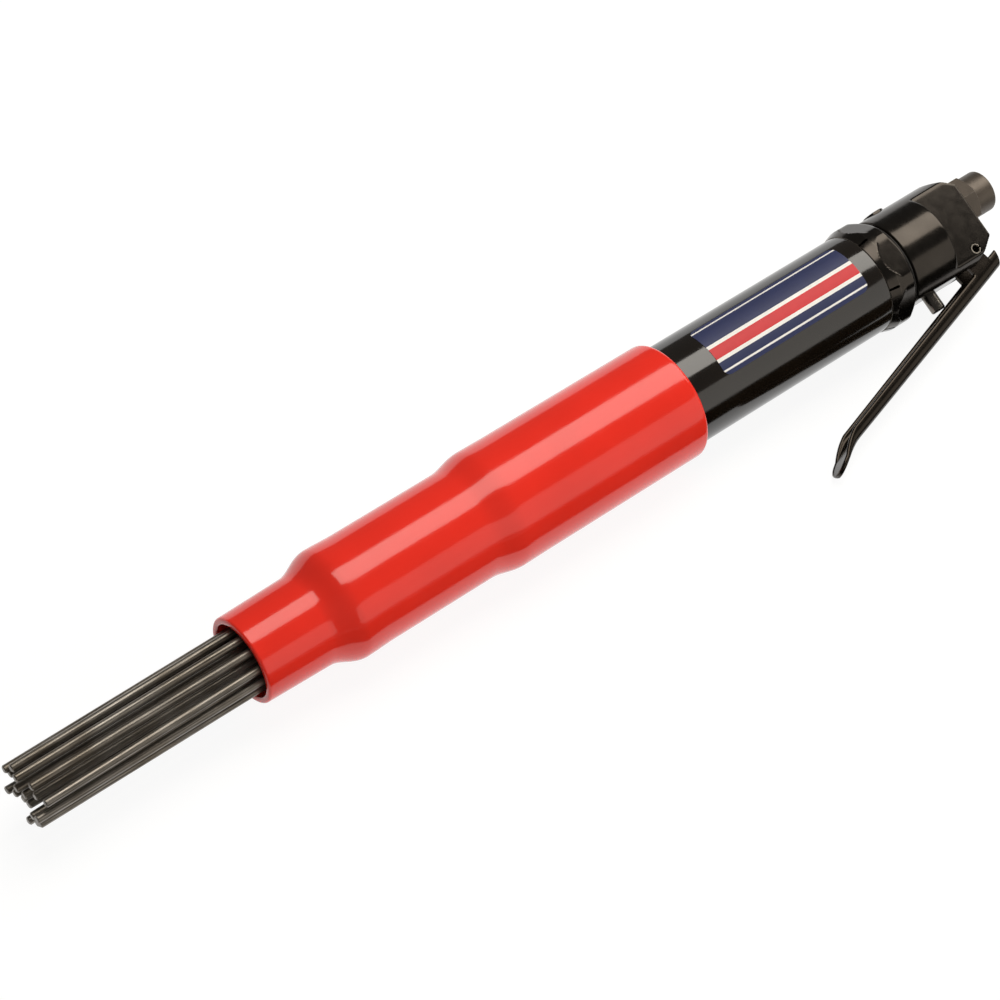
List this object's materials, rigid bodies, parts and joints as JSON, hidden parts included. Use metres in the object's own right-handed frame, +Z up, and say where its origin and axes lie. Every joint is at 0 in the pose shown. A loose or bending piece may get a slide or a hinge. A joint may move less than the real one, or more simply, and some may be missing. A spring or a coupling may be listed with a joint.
{
  "type": "needle scaler",
  "caption": "In-line air needle scaler: red stepped front tube with a loose needle pack, black hammer barrel, coupling nut, throttle head with channel lever and air inlet.",
  "frame": {"origin": "middle of the tool's box, on the surface that it lies on", "axes": "+X along the tool from the needles to the air inlet, +Z up; the lever points to -Y"},
  "size_m": [0.4452, 0.0782, 0.046],
  "materials": {
    "red_enamel": "gloss enamel",
    "black_enamel": "gloss enamel",
    "black_oxide": "oiled black oxide",
    "lever_black": "satin black",
    "inlet_steel": "dark steel",
    "needle_steel": "oiled drawn wire",
    "bright_steel": "ground",
    "spring_steel": "drawn wire",
    "brass": "turned",
    "rubber": "moulded"
  },
  "bodies": {
    "tool": {"front_tube": "red_enamel", "barrel": "black_enamel", "coupling_nut": "black_oxide", "head_seal": "rubber", "rear_head": "black_oxide", "inlet_bush": "inlet_steel", "inlet_strainer": "brass", "lever_pin": "spring_steel", "valve_seat": "brass", "valve_spring": "spring_steel", "valve_plug": "black_oxide", "stem_seal": "rubber", "return_spring": "spring_steel", "anvil_bush": "brass", "chest_front": "bright_steel", "chest_rear": "bright_steel", "chest_dowel": "bright_steel"},
    "needle_pack": {"needle_holder": "bright_steel"},
    "striker": {"anvil": "bright_steel"},
    "hammer": {"piston": "bright_steel"},
    "flap": {"valve_disc": "bright_steel"},
    "lever": {"throttle_lever": "lever_black"},
    "valve": {"throttle_stem": "bright_steel", "throttle_valve": "brass"},
    "needle_01": {"needle_01": "needle_steel"},
    "needle_02": {"needle_02": "needle_steel"},
    "needle_03": {"needle_03": "needle_steel"},
    "needle_04": {"needle_04": "needle_steel"},
    "needle_05": {"needle_05": "needle_steel"},
    "needle_06": {"needle_06": "needle_steel"},
    "needle_07": {"needle_07": "needle_steel"},
    "needle_08": {"needle_08": "needle_steel"},
    "needle_09": {"needle_09": "needle_steel"},
    "needle_10": {"needle_10": "needle_steel"},
    "needle_11": {"needle_11": "needle_steel"},
    "needle_12": {"needle_12": "needle_steel"},
    "needle_13": {"needle_13": "needle_steel"},
    "needle_14": {"needle_14": "needle_steel"},
    "needle_15": {"needle_15": "needle_steel"},
    "needle_16": {"needle_16": "needle_steel"},
    "needle_17": {"needle_17": "needle_steel"},
    "needle_18": {"needle_18": "needle_steel"},
    "needle_19": {"needle_19": "needle_steel"}
  },
  "joints": [
    {"name": "lever_squeeze", "type": "hinge", "parent": "tool", "child": "lever", "pos_m": [0.19757, 0.00454, 0.01861], "axis": [0, 0.3256, -0.9455], "range_deg": [0, 12.2], "stiffness_Nm_per_rad": 0.4, "springref_deg": -11.46},
    {"name": "stem_push", "type": "slide", "parent": "tool", "child": "valve", "axis": [0, 0.9455, 0.3256], "range_m": [0, 0.0026], "deforming": ["valve_spring"]},
    {"name": "holder_slide", "type": "slide", "parent": "tool", "child": "needle_pack", "axis": [-1, 0, 0], "range_m": [0, 0.005], "stiffness_N_per_m": 2000, "springref_m": -0.002, "deforming": ["return_spring"]},
    {"name": "anvil_slide", "type": "slide", "parent": "tool", "child": "striker", "axis": [-1, 0, 0], "range_m": [0, 0.004]},
    {"name": "piston_stroke", "type": "slide", "parent": "tool", "child": "hammer", "axis": [1, 0, 0], "range_m": [0, 0.045]},
    {"name": "flap_travel", "type": "slide", "parent": "tool", "child": "flap", "axis": [1, 0, 0], "range_m": [0, 0.0006]},
    {"name": "needle_01_slide", "type": "slide", "parent": "needle_pack", "child": "needle_01", "axis": [1, 0.0027, -0.0004], "range_m": [-0.0027, 0.0033]},
    {"name": "needle_02_slide", "type": "slide", "parent": "needle_pack", "child": "needle_02", "axis": [0.9999, 0.0116, 0.004], "range_m": [-0.0012, 0.0048]},
    {"name": "needle_03_slide", "type": "slide", "parent": "needle_pack", "child": "needle_03", "axis": [1, 0.0033, -0.0021], "range_m": [-0.0042, 0.0018]},
    {"name": "needle_04_slide", "type": "slide", "parent": "needle_pack", "child": "needle_04", "axis": [1, 0.0013, 0.0037], "range_m": [-0.0006, 0.0054]},
    {"name": "needle_05_slide", "type": "slide", "parent": "needle_pack", "child": "needle_05", "axis": [1, 0.0043, -0.0011], "range_m": [-0.0033, 0.0027]},
    {"name": "needle_06_slide", "type": "slide", "parent": "needle_pack", "child": "needle_06", "axis": [1, 0.0025, 0.0021], "range_m": [-0.0018, 0.0042]},
    {"name": "needle_07_slide", "type": "slide", "parent": "needle_pack", "child": "needle_07", "axis": [1, 0.0041, -0.0005], "range_m": [-0.0036, 0.0024]},
    {"name": "needle_08_slide", "type": "slide", "parent": "needle_pack", "child": "needle_08", "axis": [1, 0, 0], "range_m": [-0.0021, 0.0039]},
    {"name": "needle_09_slide", "type": "slide", "parent": "needle_pack", "child": "needle_09", "axis": [1, 0.0007, 0.0035], "range_m": [-0.0006, 0.0054]},
    {"name": "needle_10_slide", "type": "slide", "parent": "needle_pack", "child": "needle_10", "axis": [0.9999, 0.0106, 0.0011], "range_m": [-0.0045, 0.0015]},
    {"name": "needle_11_slide", "type": "slide", "parent": "needle_pack", "child": "needle_11", "axis": [1, 0.0029, -0.0029], "range_m": [-0.003, 0.003]},
    {"name": "needle_12_slide", "type": "slide", "parent": "needle_pack", "child": "needle_12", "axis": [1, 0.0027, 0.0035], "range_m": [-0.0009, 0.0051]},
    {"name": "needle_13_slide", "type": "slide", "parent": "needle_pack", "child": "needle_13", "axis": [1, 0.0062, -0.0011], "range_m": [-0.0024, 0.0036]},
    {"name": "needle_14_slide", "type": "slide", "parent": "needle_pack", "child": "needle_14", "axis": [1, 0.004, 0.0033], "range_m": [-0.0003, 0.0057]},
    {"name": "needle_15_slide", "type": "slide", "parent": "needle_pack", "child": "needle_15", "axis": [1, 0.006, -0.0005], "range_m": [-0.0039, 0.0021]},
    {"name": "needle_16_slide", "type": "slide", "parent": "needle_pack", "child": "needle_16", "axis": [1, 0.0025, 0.0041], "range_m": [-0.0015, 0.0045]},
    {"name": "needle_17_slide", "type": "slide", "parent": "needle_pack", "child": "needle_17", "axis": [1, 0.0016, -0.0008], "range_m": [-0.0048, 0.0012]},
    {"name": "needle_18_slide", "type": "slide", "parent": "needle_pack", "child": "needle_18", "axis": [0.9999, 0.0114, 0.0007], "range_m": [-0.0018, 0.0042]},
    {"name": "needle_19_slide", "type": "slide", "parent": "needle_pack", "child": "needle_19", "axis": [1, 0.0004, 0.0027], "range_m": [-0.003, 0.003]}
  ],
  "couplings": [
    {"joint": "stem_push", "follows": "lever_squeeze", "m_per_rad": 0.012211}
  ]
}
